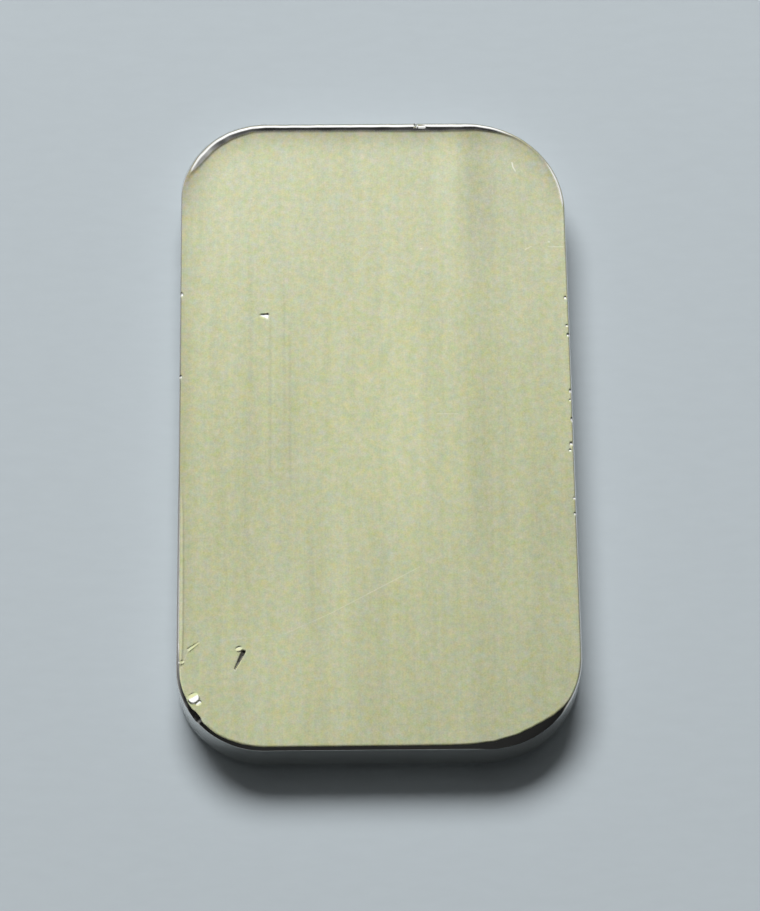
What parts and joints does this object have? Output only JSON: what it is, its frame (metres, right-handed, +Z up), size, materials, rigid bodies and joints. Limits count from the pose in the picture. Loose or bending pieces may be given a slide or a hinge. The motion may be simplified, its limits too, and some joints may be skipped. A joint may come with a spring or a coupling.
{
  "type": "metal ingot",
  "caption": "Flat minted silver bar with round corners, softly rolled edges and a blank brushed face, lying on its broad side.",
  "frame": {"origin": "middle of the resting face", "axes": "+X across the bar, +Y along it away from the end with the worn corner, +Z up out of the upper face"},
  "size_m": [0.028, 0.0488, 0.0036],
  "materials": {
    "silver": "satin, brushed along the bar"
  },
  "bodies": {
    "root": {"ingot": "silver"}
  },
  "joints": []
}
